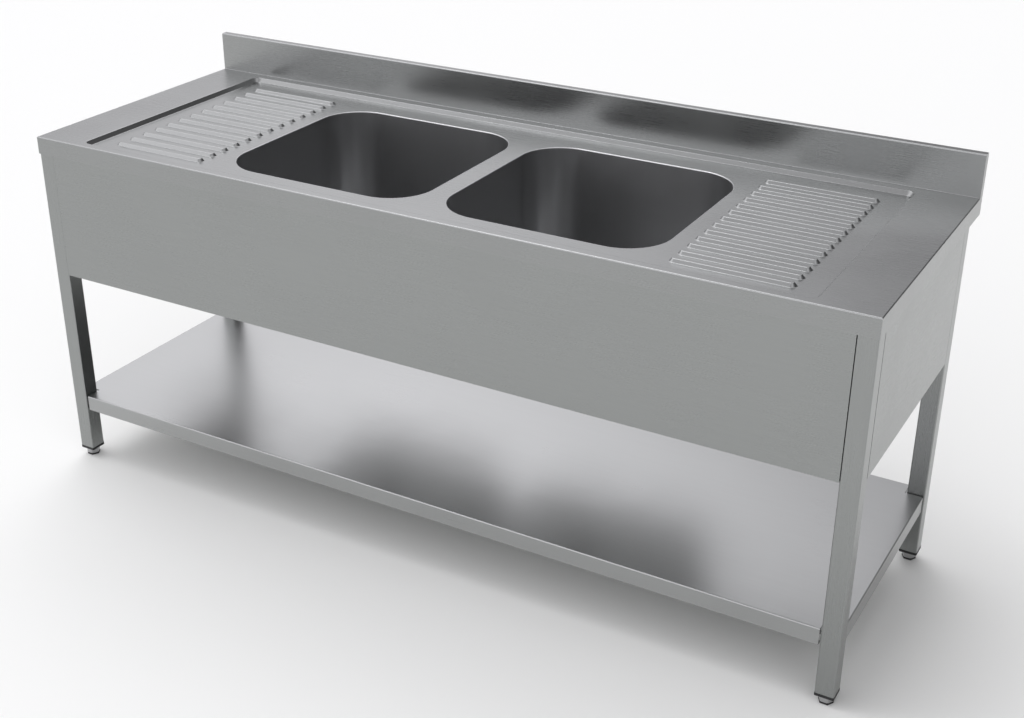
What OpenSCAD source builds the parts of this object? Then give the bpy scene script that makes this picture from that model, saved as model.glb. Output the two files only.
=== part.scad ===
// Catering sink table: a folded sheet worktop with two deep bowls, a pressed drainer at each end
// and a splashback, carried on four square legs with an apron, an undershelf and levelling feet.
// The origin is on the floor under the middle of the worktop, with +Y towards the wall.

/* [Worktop] */
// Length of the worktop
worktop_l = 2000; // [1950:10:2600]
// Depth of the worktop, front to back
worktop_d = 700; // [690:5:900]
// Height of the worktop above the floor
worktop_h = 850; // [800:5:950]
// Thickness of the folded sheet
sheet_t = 1.5; // [1:0.1:2]
// Height of the front and side skirts
skirt_h = 41; // [30:1:60]
// Outside radius of a fold
fold_r = 2.5; // [2.2:0.1:4]

/* [Splashback] */
// Height of the splashback above the worktop
splash_h = 95; // [60:1:200]
// Depth of the splashback, front face to back face
splash_d = 20; // [15:1:30]
// Height of the fold down its back
splash_return_h = 30; // [15:1:50]
// Radius in the corner between worktop and splashback
splash_cove_r = 1; // [0.5:0.5:8]

/* [Recess] */
// Flat margin between the recess and each end of the worktop
recess_side_margin = 124; // [60:1:140]
// Flat margin between the recess and the front edge
recess_front_margin = 20; // [15:1:25]
// Flat margin between the recess and the splashback
recess_back_margin = 24; // [15:1:40]
// Depth of the recess
recess_depth = 10; // [9:0.5:16]
// Radius of the recess corners in plan, at the recess floor
recess_corner_r = 10; // [8:1:30]
// Radius of the bends at the top and the foot of the recess wall
recess_edge_r = 2.2; // [2.2:0.1:4]

/* [Bowls] */
// Width of each bowl
bowl_w = 500; // [400:5:520]
// Size of each bowl front to back
bowl_d = 500; // [400:5:510]
// Depth of each bowl below the recess
bowl_depth = 380; // [250:5:400]
// Radius of the upright bowl corners
bowl_corner_r = 100; // [60:1:120]
// Radius between bowl wall and bowl floor
bowl_floor_r = 40; // [20:1:50]
// Radius of the bowl lip
bowl_lip_r = 2.2; // [2.2:0.1:6]
// Thickness of the bowl
bowl_t = 1.5; // [1:0.1:2]
// Distance between the two bowl openings
bowl_gap = 54; // [48:1:100]
// Distance of the bowls and drainers in front of the middle of the recess
bowl_forward = 8; // [0:1:12]

/* [Drainer ribs] */
// Number of ribs in each drainer
rib_count = 13; // [7:1:13]
// Distance between rib centres
rib_pitch = 42; // [30:1:42]
// Height of a rib
rib_h = 7; // [5:0.5:8]
// Width of a rib over the bends at its foot
rib_w = 23; // [22:0.5:26]
// Length of a rib over the bends at its foot
rib_l = 254; // [150:1:256]
// Radius of the bends at the top and the foot of a rib
rib_bend_r = 2.2; // [2.2:0.1:2.5]
// Distance from the end of the recess floor to the end of a rib
rib_end_margin = 46; // [40:1:60]

/* [Waste fittings] */
// Diameter of the waste body that passes through the bowl floor
waste_body_d = 52; // [50:0.1:54]
// Length of the waste body below its flange
waste_body_l = 20; // [18:1:40]
// Outside diameter of the waste tail below the body
waste_tail_d = 47.8; // [40:0.1:49]
// Wall of the waste tail
waste_tail_t = 3; // [2:0.5:5]
// Length of the waste tail
waste_tail_l = 40; // [25:1:60]
// Diameter of the waste flange in the bowl
waste_flange_d = 85; // [75:1:110]
// Thickness of the waste flange
waste_flange_t = 2; // [1.5:0.5:4]
// Diameter of a strainer hole
strainer_hole_d = 5; // [3:0.5:6]
// Clearance round the waste body in the bowl, the gasket and the nut
waste_clearance = 0.1; // [0.1:0.05:0.5]
// Diameter of the gasket
gasket_d = 74; // [66:1:90]
// Thickness of the gasket
gasket_t = 3; // [2:0.5:5]
// Width of the waste nut across its corners
waste_nut_d = 68; // [60:1:84]
// Height of the waste nut
waste_nut_h = 11; // [8:1:15]

/* [Legs] */
// Width of the square leg tube
leg_w = 40; // [38:1:50]
// Wall of the leg tube
leg_t = 1.5; // [1.2:0.1:2.5]
// Outside corner radius of the leg tube
leg_corner_r = 3; // [2:0.5:4]
// Distance from the back edge of the worktop to the rear legs
rear_leg_inset = 76; // [60:1:90]

/* [Feet] */
// Height of the leg tube's lower end above the floor
leg_end_h = 26; // [22:1:40]
// Thickness of the insert flange under the leg
insert_flange_t = 6; // [4:0.5:8]
// How far the insert flange stands out past the leg
insert_flange_proud = 0.4; // [0:0.1:1]
// Height of the insert inside the leg
insert_plug_h = 34; // [25:1:45]
// Clearance of the insert in the leg
insert_clearance = 0.2; // [0.1:0.05:0.5]
// Wall of the insert plug
insert_wall = 2.5; // [2:0.5:4]
// Diameter of the threaded boss in the insert
insert_boss_d = 18; // [15:0.5:24]
// Diameter of the foot's screw
foot_screw_d = 10; // [8:0.5:12]
// Running clearance round the foot's screw
foot_screw_clearance = 0.05; // [0.02:0.01:0.1]
// Length of the foot's screw above its hexagon
foot_screw_l = 54; // [45:1:60]
// Width of the foot's hexagon across its corners
foot_hex_d = 32; // [28:0.5:38]
// Chamfer on the corners of the foot's hexagon
foot_hex_chamfer = 1; // [0.5:0.1:2]
// Thickness of the foot pad
foot_pad_t = 4.5; // [4:0.5:6]
// Diameter of the pin that holds the pad on the foot
foot_pin_d = 12; // [8:0.5:16]
// Length of that pin
foot_pin_l = 3; // [2:0.5:3.5]

/* [Apron and side panels] */
// Drop from the worktop to the lower edge of the apron
apron_drop = 342; // [250:1:400]
// Width of the folds round the apron and the side panels
apron_fold_w = 15; // [10:1:25]
// Seam between the apron and the front legs
apron_seam = 0.5; // [0.2:0.1:2]
// Seam between a side panel and its legs
side_seam = 0.2; // [0.1:0.1:2]

/* [Rails and stiffeners] */
// Width and height of a rail tube
rail_w = 30; // [25:1:34]
// Wall of a rail tube
rail_t = 1.5; // [1.2:0.1:2.5]
// Width of a worktop stiffener
stiffener_w = 40; // [35:1:45]
// Height of a worktop stiffener
stiffener_h = 30; // [20:1:40]
// Width of each foot of a stiffener
stiffener_foot_w = 10; // [8:1:12]

/* [Undershelf] */
// Height of the undershelf's surface above the floor
shelf_h = 176; // [140:1:250]
// Height of the folds round the undershelf
shelf_lip_h = 38; // [34:1:50]
// Width of the hem under each fold
shelf_hem_w = 12; // [8:1:20]
// Distance of the undershelf inside the faces of the legs
shelf_inset = 3; // [1:0.5:5]
// Gap between the undershelf and the legs
shelf_leg_gap = 4; // [3.5:0.5:8]
// Width of the undershelf's stiffener
shelf_stiffener_w = 80; // [60:1:120]
// Height of the undershelf's stiffener
shelf_stiffener_h = 25; // [15:1:28]
// Gap between the ends of that stiffener and the undershelf's folds
shelf_stiffener_gap = 1; // [0.5:0.5:5]

/* [Shelf brackets] */
// Thickness of a shelf bracket
bracket_t = 3; // [2:0.5:3.5]
// Height of a shelf bracket
bracket_h = 30; // [26:1:32]
// Reach of a shelf bracket under the shelf
bracket_reach = 32; // [20:1:45]
// Distance of a bracket's ends from the leg's outer faces
bracket_end_gap = 8; // [6:1:12]
// Diameter of a bracket bolt
bolt_d = 6; // [5:1:8]
// Clearance round a bolt in its holes
bolt_clearance = 0.2; // [0.1:0.1:0.5]
// Width of a bolt head across its corners
bolt_head_d = 11.5; // [10:0.5:15]
// Height of a bolt head
bolt_head_h = 4; // [3:0.5:6]
// Length of a bolt past the inside of the bracket
bolt_l = 14; // [10:1:18]

/* [Hidden] */

$fn = 48;
// Overrun of a cut past the face that it opens
cut_over = 1;
// Colours
steel = [0.62, 0.63, 0.64];
dark_steel = [0.50, 0.51, 0.52];
black_plastic = [0.06, 0.06, 0.06];
black_rubber = [0.04, 0.04, 0.04];

// Worktop edges
front_y = -worktop_d / 2;
back_y = worktop_d / 2;
splash_y = back_y - splash_d;
cove_y = splash_y - splash_cove_r;
top_underside = worktop_h - sheet_t;
// Where the skirt's inner face is straight, below the inside of its fold
fold_underside = top_underside - (fold_r - sheet_t);

// Slope of the pressed walls, across and up, as shares of their length
pressed_slope_shares = [0.6, 0.8];
pressed_across = pressed_slope_shares[0];
pressed_up = pressed_slope_shares[1];
// Run in plan of a pressed wall of height h, from the start of its foot bend to the end of its
// top bend, both of radius r
function pressed_run(h, r) =
    2 * r * pressed_up + (h - 2 * r * (1 - pressed_across)) * pressed_across / pressed_up;

// Recess opening in the worktop, and the flat floor inside its bends
recess_run = pressed_run(recess_depth, recess_edge_r);
recess_open_l = worktop_l - 2 * recess_side_margin;
recess_front_y = front_y + recess_front_margin;
recess_back_y = splash_y - recess_back_margin;
recess_open_d = recess_back_y - recess_front_y;
recess_mid_y = (recess_front_y + recess_back_y) / 2;
recess_l = recess_open_l - 2 * recess_run;
recess_d = recess_open_d - 2 * recess_run;
recess_floor = worktop_h - recess_depth;
recess_underside = recess_floor - sheet_t;

// Bowls
bowl_x = (bowl_gap + bowl_w) / 2;
bowl_y = recess_mid_y - bowl_forward;
bowl_floor = recess_floor - bowl_depth;
bowl_underside = bowl_floor - bowl_t;

// Ribs
rib_run = pressed_run(rib_h, rib_bend_r);
rib_straight_l = rib_l - rib_w;
rib_x = recess_l / 2 - rib_end_margin - rib_l / 2;
rib_shifts = [for (k = [0 : rib_count - 1]) (k - (rib_count - 1) / 2) * rib_pitch];
drainer_d = (rib_count - 1) * rib_pitch + rib_w;

// Waste
waste_hole_d = waste_body_d + 2 * waste_clearance;
waste_bore_d = waste_tail_d - 2 * waste_tail_t;
// Holes in each ring of the strainer, with the ring's radius as a share of the bore's radius
strainer_ring_shares = [[1, 0], [6, 0.52], [9, 0.81]];

// Legs: the skirt wraps round them
leg_x = worktop_l / 2 - sheet_t - leg_w / 2;
front_leg_y = front_y + sheet_t + leg_w / 2;
rear_leg_y = back_y - rear_leg_inset - leg_w / 2;
leg_inner_x = leg_x - leg_w / 2;
leg_outer_x = leg_x + leg_w / 2;
front_leg_back_y = front_leg_y + leg_w / 2;
rear_leg_front_y = rear_leg_y - leg_w / 2;
leg_span_y = rear_leg_front_y - front_leg_back_y;
leg_mid_y = (front_leg_back_y + rear_leg_front_y) / 2;

// Feet
insert_underside = leg_end_h - insert_flange_t;

// Apron
apron_bottom = worktop_h - apron_drop;
apron_y = front_y + sheet_t;
apron_l = 2 * (leg_inner_x - apron_seam);
side_panel_l = leg_span_y - 2 * side_seam;

// Rails
rail_y_front = apron_y + sheet_t + rail_w / 2;
rail_y_rear = rear_leg_y + leg_w / 2 - rail_w / 2;
rail_z = recess_underside - rail_w / 2;
side_rail_x = leg_outer_x - sheet_t - rail_w / 2;
side_rail_z = top_underside - rail_w / 2;
stiffener_l = rail_y_rear - rail_y_front - rail_w;
stiffener_y = (rail_y_rear + rail_y_front) / 2;
bowl_stiffener_w = bowl_gap - 2 * bowl_t - 2 * stiffener_foot_w;

// Undershelf
shelf_l = 2 * (leg_outer_x - shelf_inset);
shelf_front_y = front_leg_y - leg_w / 2 + shelf_inset;
shelf_back_y = rear_leg_y + leg_w / 2 - shelf_inset;
shelf_d = shelf_back_y - shelf_front_y;
shelf_y = (shelf_front_y + shelf_back_y) / 2;
shelf_underside = shelf_h - sheet_t;
shelf_stiffener_l = shelf_l - 2 * (sheet_t + shelf_stiffener_gap);
bolt_z = shelf_underside - (bracket_h + bracket_t) / 2;

// The four legs: side along X, side along Y
FL = [-1, -1];
FR = [1, -1];
RL = [-1, 1];
RR = [1, 1];

// Plan shapes and folded sections

module rounded_rect(l, d, r) {
    square([l - 2 * r, d], center = true);
    square([l, d - 2 * r], center = true);
    for (sx = [-1, 1], sy = [-1, 1])
        translate([sx * (l / 2 - r), sy * (d / 2 - r)])
            circle(r);
}

module quarter_ring(r_in, r_out) {
    intersection() {
        difference() {
            circle(r_out);
            circle(r_in);
        }
        square(r_out);
    }
}

// A rectangle standing on y = 0 with its two upper corners rounded
module round_top(w, h, r) {
    translate([-w / 2, 0])
        square([w, h - r]);
    translate([r - w / 2, 0])
        square([w - 2 * r, h]);
    for (s = [-1, 1])
        translate([s * (w / 2 - r), h - r])
            circle(r);
}

// A block with rounded upper edges on all four sides
module round_top_block(l, d, h, r) {
    intersection() {
        rotate([90, 0, 0])
            linear_extrude(d, center = true)
                round_top(l, h, r);
        rotate([90, 0, 90])
            linear_extrude(l, center = true)
                round_top(d, h, r);
    }
}

// An upside-down tray of folded sheet
module folded_tray(l, d, h) {
    difference() {
        round_top_block(l, d, h, fold_r);
        translate([0, 0, -cut_over])
            round_top_block(l - 2 * sheet_t, d - 2 * sheet_t, h - sheet_t + cut_over,
                            fold_r - sheet_t);
    }
}

// Sweeps a section round a rounded rectangle, with x measured from the corners' own axes
module sweep_round(l, d, r) {
    for (k = [0 : 3]) {
        side = k % 2 == 0 ? l : d;
        run = k % 2 == 0 ? d : l;
        rotate(90 * k)
            translate([side / 2 - r, 0, 0])
                rotate([90, 0, 0])
                    linear_extrude(run - 2 * r, center = true)
                        children();
        rotate(90 * k)
            translate([side / 2 - r, run / 2 - r, 0])
                rotate_extrude(angle = 90)
                    children();
    }
}

module square_tube(w, t, r, l) {
    linear_extrude(l)
        difference() {
            rounded_rect(w, w, r);
            rounded_rect(w - 2 * t, w - 2 * t, r - t);
        }
}

// Worktop

// Part of a ring between straight down and square to a pressed wall's slope
module bend_ring(r_in, r_out) {
    far = 2 * r_out;
    intersection() {
        difference() {
            circle(r_out);
            circle(r_in);
        }
        polygon([[0, 0], [0, -far], [far * pressed_up, -far],
                 [far * pressed_up, -far * pressed_across]]);
    }
}

// Section of a pressed wall with its two bends. It rises along x from a floor at y = 0.
module pressed_wall(h, r) {
    foot = [0, r];
    top = [pressed_run(h, r), h - r];
    square_to_wall = [pressed_up, -pressed_across];
    translate(foot)
        bend_ring(r, r + sheet_t);
    polygon([foot + r * square_to_wall, foot + (r + sheet_t) * square_to_wall,
             top - (r - sheet_t) * square_to_wall, top - r * square_to_wall]);
    translate(top)
        rotate(180)
            bend_ring(r - sheet_t, r);
}

module recess_section() {
    translate([0, -sheet_t])
        square([recess_corner_r, sheet_t]);
    translate([recess_corner_r, 0])
        pressed_wall(recess_depth, recess_edge_r);
}

// Half of a rib's section, from its middle to the end of its foot bend
module half_rib_section() {
    translate([rib_w / 2, 0])
        mirror([1, 0])
            pressed_wall(rib_h, rib_bend_r);
    translate([0, rib_h - sheet_t])
        square([rib_w / 2 - rib_run, sheet_t]);
}

// Section across a whole drainer, with a flat strip between each rib and the next
module drainer_section() {
    for (shift = rib_shifts)
        translate([shift, 0]) {
            half_rib_section();
            mirror([1, 0])
                half_rib_section();
        }
    for (k = [1 : rib_count - 1])
        translate([rib_shifts[k - 1] + rib_w / 2, -sheet_t])
            square([rib_pitch - rib_w, sheet_t]);
}

// Centres of the ribs' round ends, each turned to face out of its rib
module rib_ends() {
    for (s = [-1, 1], shift = rib_shifts, e = [-1, 1])
        translate([s * rib_x + e * rib_straight_l / 2, bowl_y + shift])
            rotate(e * 90)
                children();
}

// The recess floor inside its bends, with the drainers pressed up in it
module recess_floor_sheet() {
    lip = bowl_lip_r;
    translate([0, 0, recess_floor - sheet_t])
        linear_extrude(sheet_t)
            difference() {
                translate([0, recess_mid_y])
                    square([recess_l - 2 * recess_corner_r, recess_d - 2 * recess_corner_r],
                           center = true);
                rib_ends()
                    circle(rib_w / 2);
                for (s = [-1, 1]) {
                    translate([s * rib_x, bowl_y])
                        square([rib_straight_l, drainer_d], center = true);
                    translate([s * bowl_x, bowl_y])
                        rounded_rect(bowl_w + 2 * lip, bowl_d + 2 * lip, bowl_corner_r + lip);
                }
            }
    for (s = [-1, 1])
        translate([s * rib_x, bowl_y, recess_floor])
            rotate([90, 0, 90])
                linear_extrude(rib_straight_l, center = true)
                    drainer_section();
    translate([0, 0, recess_floor])
        rib_ends()
            rotate(180)
                rotate_extrude(angle = 180)
                    half_rib_section();
}

// Section of the splashback, from the cove at its foot to the fold down its back
module splash_section() {
    c = splash_cove_r;
    f = fold_r;
    translate([-c, c])
        rotate(-90)
            quarter_ring(c, c + sheet_t);
    translate([0, c])
        square([sheet_t, splash_h - c - f]);
    translate([f, splash_h - f])
        rotate(90)
            quarter_ring(f - sheet_t, f);
    translate([f, splash_h - sheet_t])
        square([splash_d - 2 * f, sheet_t]);
    translate([splash_d - f, splash_h - f])
        quarter_ring(f - sheet_t, f);
    translate([splash_d - sheet_t, splash_h - splash_return_h])
        square([sheet_t, splash_return_h - f]);
}

// Side of the splashback, one sheet with the side skirt below it and below the cove
module splash_end() {
    linear_extrude(sheet_t) {
        translate([-splash_cove_r, -skirt_h])
            square([splash_cove_r + splash_d, skirt_h]);
        square([splash_d, splash_h - fold_r]);
        translate([fold_r, 0])
            square([splash_d - 2 * fold_r, splash_h]);
        for (y = [fold_r, splash_d - fold_r])
            translate([y, splash_h - fold_r])
                circle(fold_r);
    }
}

module worktop() color(steel) {
    skirt_bottom = worktop_h - skirt_h;
    difference() {
        translate([0, 0, skirt_bottom])
            folded_tray(worktop_l, worktop_d, skirt_h);
        translate([-worktop_l, cove_y, skirt_bottom - cut_over])
            cube([2 * worktop_l, worktop_d, skirt_h + 2 * cut_over]);
        translate([0, recess_mid_y, top_underside - cut_over])
            linear_extrude(sheet_t + 2 * cut_over)
                rounded_rect(recess_open_l, recess_open_d, recess_corner_r + recess_run);
    }
    translate([0, recess_mid_y, recess_floor])
        sweep_round(recess_l, recess_d, recess_corner_r)
            recess_section();
    recess_floor_sheet();
    translate([0, splash_y, worktop_h])
        rotate([90, 0, 90])
            linear_extrude(worktop_l, center = true)
                splash_section();
    for (s = [0, 1])
        mirror([s, 0, 0])
            translate([worktop_l / 2 - sheet_t, splash_y, worktop_h])
                rotate([90, 0, 90])
                    splash_end();
}

// Bowls and waste fittings

module bowl_section() {
    r = bowl_corner_r;
    f = bowl_floor_r;
    lip = bowl_lip_r;
    translate([0, -bowl_t])
        square([r - f, bowl_t]);
    translate([r - f, f])
        rotate(-90)
            quarter_ring(f, f + bowl_t);
    translate([r, f])
        square([bowl_t, bowl_depth - f - lip]);
    translate([r + lip, bowl_depth - lip])
        rotate(90)
            quarter_ring(lip - bowl_t, lip);
}

module bowl(side) color(steel) {
    inner_w = bowl_w - 2 * bowl_corner_r;
    inner_d = bowl_d - 2 * bowl_corner_r;
    translate([side * bowl_x, bowl_y, bowl_floor]) {
        sweep_round(bowl_w, bowl_d, bowl_corner_r)
            bowl_section();
        translate([0, 0, -bowl_t])
            linear_extrude(bowl_t)
                difference() {
                    square([inner_w, inner_d], center = true);
                    circle(d = waste_hole_d);
                }
    }
}

// Flange and strainer in the bowl, with the tail below them
module waste_fitting(side) color(dark_steel) {
    translate([side * bowl_x, bowl_y, bowl_floor]) {
        difference() {
            cylinder(h = waste_flange_t, d = waste_flange_d);
            for (ring = strainer_ring_shares, k = [0 : ring[0] - 1])
                rotate(360 * k / ring[0])
                    translate([ring[1] * waste_bore_d / 2, 0, -cut_over])
                        cylinder(h = waste_flange_t + 2 * cut_over, d = strainer_hole_d);
        }
        translate([0, 0, -waste_body_l])
            linear_extrude(waste_body_l)
                difference() {
                    circle(d = waste_body_d);
                    circle(d = waste_bore_d);
                }
        translate([0, 0, -waste_body_l - waste_tail_l])
            linear_extrude(waste_tail_l)
                difference() {
                    circle(d = waste_tail_d);
                    circle(d = waste_bore_d);
                }
    }
}

module waste_gasket(side) color(black_rubber) {
    translate([side * bowl_x, bowl_y, bowl_underside - gasket_t])
        linear_extrude(gasket_t)
            difference() {
                circle(d = gasket_d);
                circle(d = waste_hole_d);
            }
}

module waste_nut(side) color(black_plastic) {
    translate([side * bowl_x, bowl_y, bowl_underside - gasket_t - waste_nut_h])
        difference() {
            cylinder(h = waste_nut_h, d = waste_nut_d, $fn = 8);
            translate([0, 0, -cut_over])
                cylinder(h = waste_nut_h + 2 * cut_over, d = waste_hole_d);
        }
}

// Apron and side panels: sheets with their lower edge and ends folded inwards

// The face lies in the XZ plane and the folds go towards +Y
module folded_panel(l, h, fold_h) {
    translate([-l / 2, 0, 0])
        cube([l, sheet_t, h]);
    translate([-l / 2, 0, 0])
        cube([l, sheet_t + apron_fold_w, sheet_t]);
    for (s = [-1, 1])
        translate([s * (l - sheet_t) / 2, (sheet_t + apron_fold_w) / 2, fold_h / 2])
            cube([sheet_t, sheet_t + apron_fold_w, fold_h], center = true);
}

module front_apron() color(steel) {
    panel_h = recess_underside - apron_bottom;
    translate([0, apron_y, apron_bottom])
        folded_panel(apron_l, panel_h, panel_h - rail_w);
}

module side_panel(side) color(steel) {
    panel_h = fold_underside - apron_bottom;
    rail_underside = side_rail_z - rail_w / 2;
    translate([side * leg_outer_x, leg_mid_y, apron_bottom])
        rotate(side * 90)
            folded_panel(side_panel_l, panel_h, rail_underside - apron_bottom);
}

// Rails of the top frame and the stiffeners under the worktop

module rail(l) {
    translate([-l / 2, 0, 0])
        rotate([90, 0, 90])
            square_tube(rail_w, rail_t, leg_corner_r, l);
}

module front_rail() color(dark_steel) {
    translate([0, rail_y_front, rail_z])
        rail(2 * leg_inner_x);
}

module rear_rail() color(dark_steel) {
    translate([0, rail_y_rear, rail_z])
        rail(2 * leg_inner_x);
}

module side_rail(side) color(dark_steel) {
    translate([side * side_rail_x, leg_mid_y, side_rail_z])
        rotate(90)
            rail(leg_span_y);
}

// A folded hat section along Y, hung from z = 0 by its two feet
module hat_channel(w, h, foot, l) {
    rotate([90, 0, 0])
        linear_extrude(l, center = true) {
            for (s = [-1, 1]) {
                translate([s * (w + foot - sheet_t) / 2, -sheet_t / 2])
                    square([foot + sheet_t, sheet_t], center = true);
                translate([s * (w - sheet_t) / 2, -h / 2])
                    square([sheet_t, h], center = true);
            }
            translate([0, sheet_t / 2 - h])
                square([w, sheet_t], center = true);
        }
}

module drainer_stiffener(side) color(dark_steel) {
    translate([side * rib_x, stiffener_y, recess_underside])
        hat_channel(stiffener_w, stiffener_h, stiffener_foot_w, stiffener_l);
}

module bowl_stiffener() color(dark_steel) {
    translate([0, stiffener_y, recess_underside])
        hat_channel(bowl_stiffener_w, stiffener_h, stiffener_foot_w - bowl_lip_r, stiffener_l);
}

// Legs, inserts and feet

function leg_place(leg) = [leg[0] * leg_x, leg[1] < 0 ? front_leg_y : rear_leg_y, 0];

// Bolt axes of a leg's bracket, one along X and one along Y, starting on the leg's inner faces
module bolt_places(leg) {
    translate([-leg[0] * leg_w / 2, 0, bolt_z])
        rotate([0, leg[0] * 90, 0])
            children();
    translate([0, -leg[1] * leg_w / 2, bolt_z])
        rotate([-leg[1] * 90, 0, 0])
            children();
}

module leg(leg) color(steel) {
    translate(leg_place(leg))
        difference() {
            translate([0, 0, leg_end_h])
                square_tube(leg_w, leg_t, leg_corner_r, fold_underside - leg_end_h);
            bolt_places(leg)
                cylinder(h = 2 * (leg_t + cut_over), d = bolt_d + 2 * bolt_clearance,
                         center = true);
        }
}

module leg_insert(leg) color(black_plastic) {
    flange_w = leg_w + 2 * insert_flange_proud;
    plug_w = leg_w - 2 * leg_t - 2 * insert_clearance;
    plug_r = leg_corner_r - leg_t;
    web_l = plug_w - insert_wall;
    bore_d = foot_screw_d + 2 * foot_screw_clearance;
    translate(leg_place(leg))
        difference() {
            union() {
                translate([0, 0, insert_underside])
                    linear_extrude(insert_flange_t)
                        rounded_rect(flange_w, flange_w, leg_corner_r);
                translate([0, 0, leg_end_h])
                    linear_extrude(insert_plug_h)
                        difference() {
                            rounded_rect(plug_w, plug_w, plug_r);
                            square(plug_w - 2 * insert_wall, center = true);
                        }
                translate([0, 0, leg_end_h])
                    linear_extrude(insert_plug_h) {
                        circle(d = insert_boss_d);
                        square([web_l, insert_wall], center = true);
                        square([insert_wall, web_l], center = true);
                    }
            }
            translate([0, 0, insert_underside - cut_over])
                cylinder(h = insert_flange_t + insert_plug_h + 2 * cut_over, d = bore_d);
        }
}

// Outline of the hexagon's chamfer, turned round the foot's axis
module foot_turning() {
    r = foot_hex_d / 2;
    h = insert_underside - foot_pad_t;
    c = foot_hex_chamfer;
    rotate_extrude($fn = 64)
        polygon([[0, 0], [r - c, 0], [r, c], [r, h - c], [r - c, h], [0, h]]);
}

module foot_screw(leg) color(steel) {
    translate(leg_place(leg) + [0, 0, foot_pad_t]) {
        intersection() {
            cylinder(h = insert_underside - foot_pad_t, d = foot_hex_d, $fn = 6);
            foot_turning();
        }
        translate([0, 0, insert_underside - foot_pad_t])
            cylinder(h = foot_screw_l, d = foot_screw_d);
        translate([0, 0, -foot_pin_l])
            cylinder(h = foot_pin_l, d = foot_pin_d);
    }
}

module foot_pad(leg) color(black_rubber) {
    translate(leg_place(leg))
        difference() {
            cylinder(h = foot_pad_t, d = foot_hex_d, $fn = 6);
            translate([0, 0, foot_pad_t - foot_pin_l])
                cylinder(h = foot_pin_l + cut_over, d = foot_pin_d + 2 * foot_screw_clearance);
        }
}

// Undershelf and its brackets

module undershelf() color(steel) {
    notch_w = leg_w - shelf_inset + shelf_leg_gap;
    difference() {
        translate([0, shelf_y, shelf_h - shelf_lip_h]) {
            folded_tray(shelf_l, shelf_d, shelf_lip_h);
            linear_extrude(sheet_t)
                difference() {
                    square([shelf_l - sheet_t, shelf_d - sheet_t], center = true);
                    square([shelf_l - 2 * (sheet_t + shelf_hem_w),
                            shelf_d - 2 * (sheet_t + shelf_hem_w)], center = true);
                }
        }
        for (sx = [0, 1], sy = [0, 1])
            translate([0, shelf_y, shelf_h - shelf_lip_h - cut_over])
                mirror([sx, 0, 0])
                    mirror([0, sy, 0])
                        translate([shelf_l / 2 - notch_w, shelf_d / 2 - notch_w, 0])
                            cube([notch_w + cut_over, notch_w + cut_over,
                                  shelf_lip_h + 2 * cut_over]);
    }
}

module shelf_stiffener() color(dark_steel) {
    translate([0, shelf_y, shelf_underside])
        rotate(90)
            hat_channel(shelf_stiffener_w, shelf_stiffener_h, stiffener_foot_w, shelf_stiffener_l);
}

// An angle round the leg's inner corner, with a flange under the shelf
module shelf_bracket(leg) color(dark_steel) {
    wall_l = leg_w - bracket_end_gap + bracket_t;
    flange_l = leg_w - bracket_end_gap + bracket_reach;
    bottom = shelf_underside - bracket_h;
    translate(leg_place(leg))
        mirror([leg[0] > 0 ? 1 : 0, 0, 0])
            mirror([0, leg[1] > 0 ? 1 : 0, 0])
                difference() {
                    translate([leg_w / 2, leg_w / 2, 0]) {
                        translate([0, bracket_t - wall_l, bottom])
                            cube([bracket_t, wall_l, bracket_h]);
                        translate([bracket_t - wall_l, 0, bottom])
                            cube([wall_l, bracket_t, bracket_h]);
                        translate([0, bracket_reach - flange_l, shelf_underside - bracket_t])
                            cube([bracket_reach, flange_l, bracket_t]);
                        translate([bracket_reach - flange_l, 0, shelf_underside - bracket_t])
                            cube([flange_l, bracket_reach, bracket_t]);
                    }
                    bolt_places(FL)
                        cylinder(h = 2 * (bracket_t + cut_over), d = bolt_d + 2 * bolt_clearance,
                                 center = true);
                }
}

module bolt() {
    translate([0, 0, -bolt_head_h])
        cylinder(h = bolt_head_h, d = bolt_head_d, $fn = 6);
    cylinder(h = bolt_l, d = bolt_d);
}

module shelf_bolts() color(steel) {
    for (leg = [FL, FR, RL, RR])
        translate(leg_place(leg))
            bolt_places(leg)
                translate([0, 0, -bracket_t])
                    bolt();
}

worktop();
bowl(-1);  // bowl_left
bowl(1);  // bowl_right
waste_fitting(-1);  // waste_fitting_left
waste_fitting(1);  // waste_fitting_right
waste_gasket(-1);  // waste_gasket_left
waste_gasket(1);  // waste_gasket_right
waste_nut(-1);  // waste_nut_left
waste_nut(1);  // waste_nut_right
front_apron();
side_panel(-1);  // side_panel_left
side_panel(1);  // side_panel_right
front_rail();
rear_rail();
side_rail(-1);  // side_rail_left
side_rail(1);  // side_rail_right
drainer_stiffener(-1);  // drainer_stiffener_left
drainer_stiffener(1);  // drainer_stiffener_right
bowl_stiffener();
leg(FL);  // leg_front_left
leg(FR);  // leg_front_right
leg(RL);  // leg_rear_left
leg(RR);  // leg_rear_right
leg_insert(FL);  // leg_insert_front_left
leg_insert(FR);  // leg_insert_front_right
leg_insert(RL);  // leg_insert_rear_left
leg_insert(RR);  // leg_insert_rear_right
foot_screw(FL);  // foot_screw_front_left
foot_screw(FR);  // foot_screw_front_right
foot_screw(RL);  // foot_screw_rear_left
foot_screw(RR);  // foot_screw_rear_right
foot_pad(FL);  // foot_pad_front_left
foot_pad(FR);  // foot_pad_front_right
foot_pad(RL);  // foot_pad_rear_left
foot_pad(RR);  // foot_pad_rear_right
undershelf();
shelf_stiffener();
shelf_bracket(FL);  // shelf_bracket_front_left
shelf_bracket(FR);  // shelf_bracket_front_right
shelf_bracket(RL);  // shelf_bracket_rear_left
shelf_bracket(RR);  // shelf_bracket_rear_right
shelf_bolts();
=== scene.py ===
"""Looks of the catering sink table: satin steel, black plastic and rubber on a pale floor."""
import math

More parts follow.
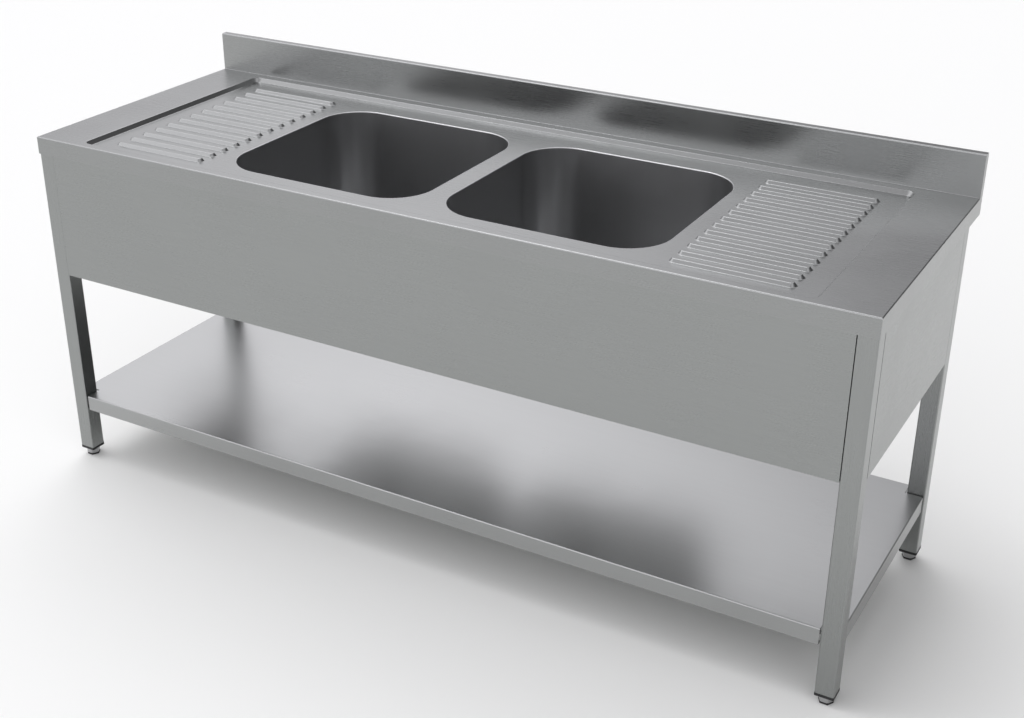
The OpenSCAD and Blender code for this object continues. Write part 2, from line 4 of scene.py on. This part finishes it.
import bpy
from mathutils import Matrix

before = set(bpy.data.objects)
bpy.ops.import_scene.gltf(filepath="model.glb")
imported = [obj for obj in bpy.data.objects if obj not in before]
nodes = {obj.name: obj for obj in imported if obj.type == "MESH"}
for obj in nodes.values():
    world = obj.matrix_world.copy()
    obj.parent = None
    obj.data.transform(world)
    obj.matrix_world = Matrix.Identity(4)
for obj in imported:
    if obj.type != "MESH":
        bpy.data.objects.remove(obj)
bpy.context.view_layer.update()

# The photograph's frame and the camera that was solved from it
PHOTO_W = 1024
PHOTO_H = 718
FOCAL_PX = 1470.3
CENTRE_X_PX = 494.6
CENTRE_Y_PX = 350.5
SENSOR_MM = 36
CAMERA_AT = (1.5696, -2.6608, 1.9132)
CAMERA_AZIMUTH = 30.09
CAMERA_ELEVATION = 26.20
CAMERA_CLIP_END = 100

# Soft lights of the studio: azimuth from +Y towards +X, elevation, width in degrees, and level
SKY_LEVEL = 0.12
SKY_COLOR = (0.98, 0.967, 1.0)
SOFT_LIGHTS = (
    (240, 24, 18, 1.25),
    (258, 22, 18, 1.05),
    (135, 42, 18, 1.00),
    (165, 2, 16, 0.60),
    (198, 17, 15, 2.40),
    (322, 30, 13, 0.88),
    (318, 51, 16, 2.20),
    (345, 55, 9, 1.50),
    (262, 63, 7, 6.00),
    (150, 78, 26, 0.45),
)
FLOOR_COLOR = (0.865, 0.876, 0.852)
FLOOR_ROUGHNESS = 0.9
FLOOR_HALF_SIDE = 60

TOP_COLOR = (0.304, 0.311, 0.308)
FRAME_COLOR = (0.298, 0.307, 0.302)
# The shelf is the same satin steel as the top and the frame, painted lighter: painted light on the
# shelf.
SHELF_COLOR = (0.36, 0.366, 0.364)
BOWL_COLOR = (0.46, 0.465, 0.468)
PLATED_COLOR = (0.42, 0.42, 0.425)
POLISHED_COLOR = (0.58, 0.58, 0.59)
PLASTIC_COLOR = (0.007, 0.007, 0.008)
RUBBER_COLOR = (0.006, 0.006, 0.006)

STEEL_ROUGHNESS = 0.28
SHELF_ROUGHNESS = 0.31
BOWL_ROUGHNESS = 0.32
PLATED_ROUGHNESS = 0.24
POLISHED_ROUGHNESS = 0.14
PLASTIC_ROUGHNESS = 0.55
RUBBER_ROUGHNESS = 0.7

# The steel's grain, in streaks per metre along it and across it
FINE_GRAIN = (14, 1400)
COARSE_GRAIN = (4, 260)
# Other marks, per metre on each axis
STEEL_CLOUDS = (4, 4, 4)
PLATED_CLOUDS = (90, 90, 90)
TURNED_RINGS = (12, 12, 1400)
DUST = (60, 60, 60)
PLASTIC_GRAIN = (2400, 2400, 2400)
RUBBER_GRAIN = (1500, 1500, 1500)

# The height of the finest marks, in metres
STEEL_RELIEF = 0.00005
PLASTIC_RELIEF = 0.00004
RUBBER_RELIEF = 0.00006

# How far from an edge its mark reaches, in metres: on the sheet steel a painted highlight, on the
# plated steel and the mouldings wear
STEEL_EDGE_REACH = 0.0012
PLATED_WEAR = 0.0006
MOULDED_WEAR = 0.0008
# The cosine between the true and the bevelled normal, where an edge's mark starts and where it is
# full
EDGE_MARK_STARTS = 0.99
EDGE_MARK_FULL = 0.75
BEVEL_SAMPLES = 4


def make_camera():
    """The photograph's camera, with its lens shift."""
    data = bpy.data.cameras.new("camera")
    data.sensor_width = SENSOR_MM
    data.lens = FOCAL_PX / PHOTO_W * SENSOR_MM
    data.shift_x = (PHOTO_W / 2 - CENTRE_X_PX) / PHOTO_W
    data.shift_y = (CENTRE_Y_PX - PHOTO_H / 2) / PHOTO_W
    data.clip_end = CAMERA_CLIP_END
    camera = bpy.data.objects.new("camera", data)
    camera.location = CAMERA_AT
    camera.rotation_euler = (math.radians(90 - CAMERA_ELEVATION), 0, math.radians(CAMERA_AZIMUTH))
    bpy.context.scene.collection.objects.link(camera)
    bpy.context.scene.camera = camera


def new_material(name, color, metallic, roughness):
    """A new material with its node tree and its Principled node."""
    material = bpy.data.materials.new(name)
    material.use_nodes = True
    tree = material.node_tree
    shader = tree.nodes["Principled BSDF"]
    shader.inputs["Base Color"].default_value = (*color, 1)
    shader.inputs["Metallic"].default_value = metallic
    shader.inputs["Roughness"].default_value = roughness
    return material, tree, shader


def noise(tree, per_metre, detail, rough=0.5, offset=(0, 0, 0)):
    """Noise from 0 to 1 in the object's own metres, with so many features a metre on each axis."""
    place = tree.nodes.new("ShaderNodeTexCoord")
    mapping = tree.nodes.new("ShaderNodeMapping")
    mapping.inputs["Scale"].default_value = per_metre
    mapping.inputs["Location"].default_value = offset
    texture = tree.nodes.new("ShaderNodeTexNoise")
    texture.inputs["Scale"].default_value = 1
    texture.inputs["Detail"].default_value = detail
    texture.inputs["Roughness"].default_value = rough
    tree.links.new(place.outputs["Object"], mapping.inputs["Vector"])
    tree.links.new(mapping.outputs["Vector"], texture.inputs["Vector"])
    return texture.outputs["Fac"]


def spread(tree, value, low, high, start=0.3, end=0.7):
    """The value from start to end, spread from low to high."""
    ramp = tree.nodes.new("ShaderNodeMapRange")
    ramp.inputs["From Min"].default_value = start
    ramp.inputs["From Max"].default_value = end
    ramp.inputs["To Min"].default_value = low
    ramp.inputs["To Max"].default_value = high
    tree.links.new(value, ramp.inputs["Value"])
    return ramp.outputs["Result"]


def combine(tree, operation, one, other):
    """A Math node over two values, each a socket or a number."""
    node = tree.nodes.new("ShaderNodeMath")
    node.operation = operation
    for socket, value in zip(node.inputs, (one, other)):
        if isinstance(value, (int, float)):
            socket.default_value = value
        else:
            tree.links.new(value, socket)
    return node.outputs["Value"]


def add(tree, total, *others):
    """The sum of two or more values."""
    for other in others:
        total = combine(tree, "ADD", total, other)
    return total


def times(tree, value, factor):
    """The value times a factor."""
    return combine(tree, "MULTIPLY", value, factor)


def color_mix(tree, factor):
    """A Mix node for colours, driven by the factor."""
    mix = tree.nodes.new("ShaderNodeMix")
    mix.data_type = "RGBA"
    tree.links.new(factor, mix.inputs["Factor"])
    return mix


def scaled(color, factor):
    """The colour times a factor, with full alpha."""
    return (*[min(1, channel * factor) for channel in color], 1)


def tint(tree, value, color, dark, light):
    """The colour times a factor that runs from dark to light as the value runs from 0 to 1."""
    mix = color_mix(tree, value)
    mix.inputs["A"].default_value = scaled(color, dark)
    mix.inputs["B"].default_value = scaled(color, light)
    return mix.outputs["Result"]


def edge_factor(tree, radius):
    """How much a bevel of this radius would turn the surface here: 0 on a flat, 1 on an edge."""
    bevel = tree.nodes.new("ShaderNodeBevel")
    bevel.samples = BEVEL_SAMPLES
    bevel.inputs["Radius"].default_value = radius
    geometry = tree.nodes.new("ShaderNodeNewGeometry")
    dot = tree.nodes.new("ShaderNodeVectorMath")
    dot.operation = "DOT_PRODUCT"
    tree.links.new(bevel.outputs["Normal"], dot.inputs[0])
    tree.links.new(geometry.outputs["Normal"], dot.inputs[1])
    return spread(tree, dot.outputs["Value"], low=1, high=0, start=EDGE_MARK_FULL, end=EDGE_MARK_STARTS)


def set_surface(tree, shader, color, roughness, height, strength, relief):
    """Links the shader's colour and roughness, and a bump of a strength and a relief in metres."""
    tree.links.new(color, shader.inputs["Base Color"])
    tree.links.new(roughness, shader.inputs["Roughness"])
    bump = tree.nodes.new("ShaderNodeBump")
    bump.inputs["Strength"].default_value = strength
    bump.inputs["Distance"].default_value = relief
    tree.links.new(height, bump.inputs["Height"])
    tree.links.new(bump.outputs["Normal"], shader.inputs["Normal"])


def streaks(grain, along, across):
    """Features per metre on each axis, for a grain that runs along one of them."""
    return [along if axis == grain else across for axis in "xyz"]


def brushed_steel(name, grain, color, roughness):
    """Satin sheet steel: its grain runs along the axis grain, with soft clouds and a painted
    highlight on its edges.
    """
    material, tree, shader = new_material(name, color, metallic=1, roughness=roughness)
    fine = noise(tree, streaks(grain, *FINE_GRAIN), detail=2)
    coarse = noise(tree, streaks(grain, *COARSE_GRAIN), detail=3, rough=0.6, offset=(5, 3, 8))
    clouds = noise(tree, STEEL_CLOUDS, detail=3, rough=0.55, offset=(1, 2, 3))
    edge_mask = edge_factor(tree, STEEL_EDGE_REACH)

    shade = add(tree, spread(tree, coarse, low=0, high=0.5), spread(tree, clouds, low=0, high=0.5))
    # Edges are painted 15% lighter, a painted highlight along them; they are also made a little
    # smoother below.
    edge_highlight = color_mix(tree, edge_mask)
    tree.links.new(tint(tree, shade, color, dark=0.98, light=1.02), edge_highlight.inputs["A"])
    edge_highlight.inputs["B"].default_value = scaled(color, 1.15)

    rough = add(tree, spread(tree, fine, low=-0.02, high=0.02),
                spread(tree, clouds, low=-0.025, high=0.025), times(tree, edge_mask, -0.06), roughness)
    set_surface(tree, shader, edge_highlight.outputs["Result"], rough, height=add(tree, fine, coarse),
                strength=0.03, relief=STEEL_RELIEF)
    return material


def plated_steel(name, color, roughness):
    """Turned and plated steel: a little cloudy, with fine rings and rubbed edges."""
    material, tree, shader = new_material(name, color, metallic=1, roughness=roughness)
    clouds = noise(tree, PLATED_CLOUDS, detail=4, rough=0.6)
    rings = noise(tree, TURNED_RINGS, detail=2, offset=(2, 7, 4))
    edge_mask = edge_factor(tree, PLATED_WEAR)
    shade = add(tree, spread(tree, clouds, low=0, high=0.8), times(tree, edge_mask, 0.2))
    rough = add(tree, spread(tree, clouds, low=-0.05, high=0.06), roughness)
    set_surface(tree, shader, tint(tree, shade, color, dark=0.88, light=1.08), rough,
                height=rings, strength=0.15, relief=STEEL_RELIEF)
    return material


def moulded(name, color, roughness, per_metre, relief):
    """Moulded plastic or rubber: fine grain, paler and smoother where edges are rubbed."""
    material, tree, shader = new_material(name, color, metallic=0, roughness=roughness)
    grain = noise(tree, per_metre, detail=3, rough=0.6)
    dust = noise(tree, DUST, detail=3, rough=0.6, offset=(3, 1, 2))
    edge_mask = edge_factor(tree, MOULDED_WEAR)
    shade = add(tree, spread(tree, dust, low=0, high=0.6), times(tree, edge_mask, 0.3))
    rough = add(tree, spread(tree, grain, low=-0.06, high=0.08), times(tree, edge_mask, -0.1), roughness)
    set_surface(tree, shader, tint(tree, shade, color, dark=0.8, light=1.6), rough,
                height=grain, strength=0.3, relief=relief)
    return material


def dress_nodes():
    """Gives each node its finish, with the grain along the way its sheet or tube was rolled."""
    top = brushed_steel("satin_steel_top", "x", TOP_COLOR, STEEL_ROUGHNESS)
    shelf = brushed_steel("satin_steel_shelf", "x", SHELF_COLOR, SHELF_ROUGHNESS)
    along_x = brushed_steel("satin_steel_along", "x", FRAME_COLOR, STEEL_ROUGHNESS)
    along_y = brushed_steel("satin_steel_across", "y", FRAME_COLOR, STEEL_ROUGHNESS)
    upright = brushed_steel("satin_steel_upright", "z", FRAME_COLOR, STEEL_ROUGHNESS)
    drawn = brushed_steel("drawn_steel", "z", BOWL_COLOR, BOWL_ROUGHNESS)
    plated = plated_steel("plated_steel", PLATED_COLOR, PLATED_ROUGHNESS)
    polished = plated_steel("polished_waste", POLISHED_COLOR, POLISHED_ROUGHNESS)
    plastic = moulded("black_plastic", PLASTIC_COLOR, PLASTIC_ROUGHNESS,
                      PLASTIC_GRAIN, PLASTIC_RELIEF)
    rubber = moulded("black_rubber", RUBBER_COLOR, RUBBER_ROUGHNESS, RUBBER_GRAIN, RUBBER_RELIEF)
    # The first row with a word that starts the node's name gives its finish
    finishes = (
        (("leg_insert", "waste_nut"), plastic),
        (("foot_pad", "waste_gasket"), rubber),
        (("foot_screw", "shelf_bolts"), plated),
        (("waste_fitting",), polished),
        (("worktop",), top),
        (("undershelf", "shelf_stiffener"), shelf),
        (("leg_",), upright),
        (("bowl_left", "bowl_right"), drawn),
        (("side_panel", "side_rail", "shelf_bracket", "drainer_stiffener"), along_y),
        (("",), along_x),
    )
    for name, node in nodes.items():
        finish = next(material for words, material in finishes if name.startswith(words))
        node.data.materials.clear()
        node.data.materials.append(finish)


def make_floor():
    """A pale matt floor, far wider than any view."""
    side = FLOOR_HALF_SIDE
    corners = [(-side, -side, 0), (side, -side, 0), (side, side, 0), (-side, side, 0)]
    mesh = bpy.data.meshes.new("floor")
    mesh.from_pydata(corners, [], [(0, 1, 2, 3)])
    floor = bpy.data.objects.new("floor", mesh)
    bpy.context.scene.collection.objects.link(floor)
    material, _, _ = new_material("floor", FLOOR_COLOR, metallic=0, roughness=FLOOR_ROUGHNESS)
    mesh.materials.append(material)


def direction(azimuth, elevation):
    """The unit vector towards an azimuth and elevation in degrees."""
    azimuth, elevation = math.radians(azimuth), math.radians(elevation)
    level = math.cos(elevation)
    return level * math.sin(azimuth), level * math.cos(azimuth), math.sin(elevation)


def make_studio():
    """Soft white lights around the object, as wide patches of the world with soft edges."""
    world = bpy.data.worlds.new("studio")
    bpy.context.scene.world = world
    world.use_nodes = True
    tree = world.node_tree
    place = tree.nodes.new("ShaderNodeTexCoord")
    total = SKY_LEVEL
    for azimuth, elevation, width, level in SOFT_LIGHTS:
        dot = tree.nodes.new("ShaderNodeVectorMath")
        dot.operation = "DOT_PRODUCT"
        dot.inputs[1].default_value = direction(azimuth, elevation)
        tree.links.new(place.outputs["Generated"], dot.inputs[0])
        away = add(tree, dot.outputs["Value"], -1)
        glow = tree.nodes.new("ShaderNodeMath")
        glow.operation = "EXPONENT"
        tree.links.new(times(tree, away, 1 / math.radians(width) ** 2), glow.inputs[0])
        total = add(tree, total, times(tree, glow.outputs["Value"], level))
    background = tree.nodes["Background"]
    background.inputs["Color"].default_value = (*SKY_COLOR, 1)
    tree.links.new(total, background.inputs["Strength"])


dress_nodes()
make_floor()
make_studio()
bpy.context.scene.view_settings.view_transform = "Standard"
make_camera()
